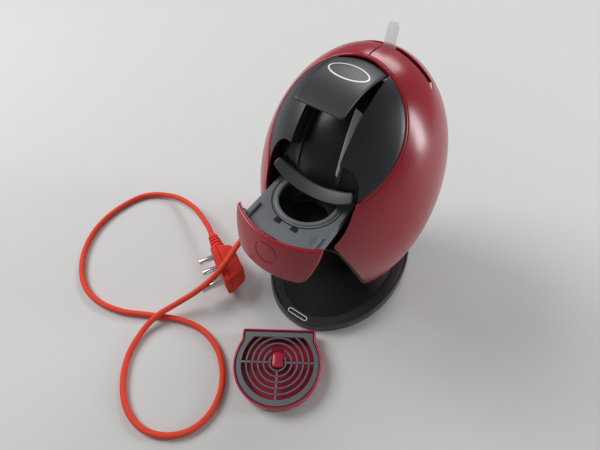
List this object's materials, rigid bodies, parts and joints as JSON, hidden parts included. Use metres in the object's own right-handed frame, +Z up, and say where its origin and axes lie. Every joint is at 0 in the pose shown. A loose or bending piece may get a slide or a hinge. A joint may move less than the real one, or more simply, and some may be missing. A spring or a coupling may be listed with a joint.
{
  "type": "pod coffee machine",
  "caption": "Egg-shaped pod coffee machine on an oval base, with a pull-out pod drawer, a locking handle, a clear selector lever, a lift-off drip tray and a mains lead with a plug.",
  "frame": {"origin": "middle of the central pad under the base, on the surface the machine stands on", "axes": "+Z up, the front with the drawer and the cup bay faces -Y, +X is the machine's own left flank"},
  "size_m": [0.3938, 0.476, 0.3149],
  "materials": {
    "base_black": "satin",
    "zinc_steel": "zinc plated",
    "rubber_black": "matt",
    "badge_print": "printed",
    "body_red": "high gloss",
    "slot_dark_red": "gloss",
    "satin_black": "satin",
    "face_black": "satin",
    "bay_black": "matt",
    "frame_grey": "matt",
    "lip_grey": "satin",
    "satin_grey": "satin",
    "flap_black": "satin",
    "needle_steel": "bright",
    "clear_acrylic": "polished",
    "cast_aluminium": "as cast",
    "copper_tube": "drawn",
    "pump_brass": "moulded",
    "natural_nylon": "moulded",
    "silicone_hose": "translucent",
    "board_green": "solder mask",
    "smoked_clear": "polished",
    "button_silver": "satin",
    "tray_red": "gloss",
    "grid_grey": "satin",
    "cord_red": "matt",
    "plug_red": "matt",
    "pin_nickel": "nickel plated"
  },
  "bodies": {
    "housing": {"base_plate": "base_black", "base_weight": "zinc_steel", "rubber_feet": "rubber_black", "base_screws": "zinc_steel", "base_badge": "badge_print", "shell_left": "body_red", "shell_right": "body_red", "slot_liner": "slot_dark_red", "rear_foot": "satin_black", "cheek_left": "face_black", "cheek_right": "face_black", "bay_liner": "bay_black", "chassis": "frame_grey", "front_lip": "lip_grey", "brew_dome": "face_black", "latch_guides": "satin_grey", "hinge_pin": "zinc_steel", "selector_valve": "frame_grey", "heater_block": "cast_aluminium", "heater_tubes": "copper_tube", "pump": "pump_brass", "pump_mounts": "rubber_black", "flow_meter": "natural_nylon", "water_hoses": "silicone_hose", "circuit_board": "board_green", "tank_seat": "satin_black", "button_spring": "needle_steel", "strain_relief": "cord_red", "mains_cord": "cord_red", "plug_body": "plug_red", "plug_relief": "plug_red", "plug_pins": "pin_nickel"},
    "locking_handle": {"handle_flap": "flap_black", "handle_badge": "badge_print"},
    "piercer": {"needle_carrier": "frame_grey", "pod_needle": "needle_steel"},
    "pod_drawer": {"pod_plate": "satin_grey", "drawer_front": "body_red", "drawer_clip": "needle_steel"},
    "selector": {"selector_lever": "clear_acrylic", "lever_hub": "satin_black"},
    "tank": {"water_tank": "smoked_clear", "tank_valve": "satin_black", "lid_pin": "zinc_steel"},
    "tank_cover": {"tank_lid": "body_red"},
    "button": {"power_button": "button_silver"},
    "tray": {"tray_pan": "tray_red"},
    "grid": {"tray_grid": "grid_grey"}
  },
  "joints": [
    {"name": "drawer_slide", "type": "slide", "parent": "housing", "child": "pod_drawer", "axis": [0, -1, 0], "range_m": [-0.0418, 0.016]},
    {"name": "handle_hinge", "type": "hinge", "parent": "housing", "child": "locking_handle", "pos_m": [0, -0.007, 0.2928], "axis": [1, 0, 0], "range_deg": [0, 26]},
    {"name": "piercer_stroke", "type": "slide", "parent": "housing", "child": "piercer", "axis": [0, 0, -1], "range_m": [0, 0.0062]},
    {"name": "selector_swing", "type": "hinge", "parent": "housing", "child": "selector", "pos_m": [0, 0.036, 0.24], "axis": [0, 1, 0], "range_deg": [-50, 45]},
    {"name": "tank_lift", "type": "slide", "parent": "housing", "child": "tank", "axis": [0, 0, 1], "range_m": [0, 0.06]},
    {"name": "tank_cover_hinge", "type": "hinge", "parent": "tank", "child": "tank_cover", "pos_m": [0, 0.088, 0.2378], "axis": [-1, 0, 0], "range_deg": [0, 75]},
    {"name": "button_press", "type": "slide", "parent": "housing", "child": "button", "axis": [0, -1, 0], "range_m": [0, 0.0018], "stiffness_N_per_m": 400, "springref_m": -0.001},
    {"name": "tray_lift", "type": "slide", "parent": "housing", "child": "tray", "axis": [0, 0, 1], "range_m": [0, 0.06]},
    {"name": "grid_lift", "type": "slide", "parent": "tray", "child": "grid", "axis": [0, 0, 1], "range_m": [0, 0.02]}
  ],
  "couplings": [
    {"joint": "piercer_stroke", "follows": "handle_hinge", "m_per_rad": 0.013649}
  ]
}
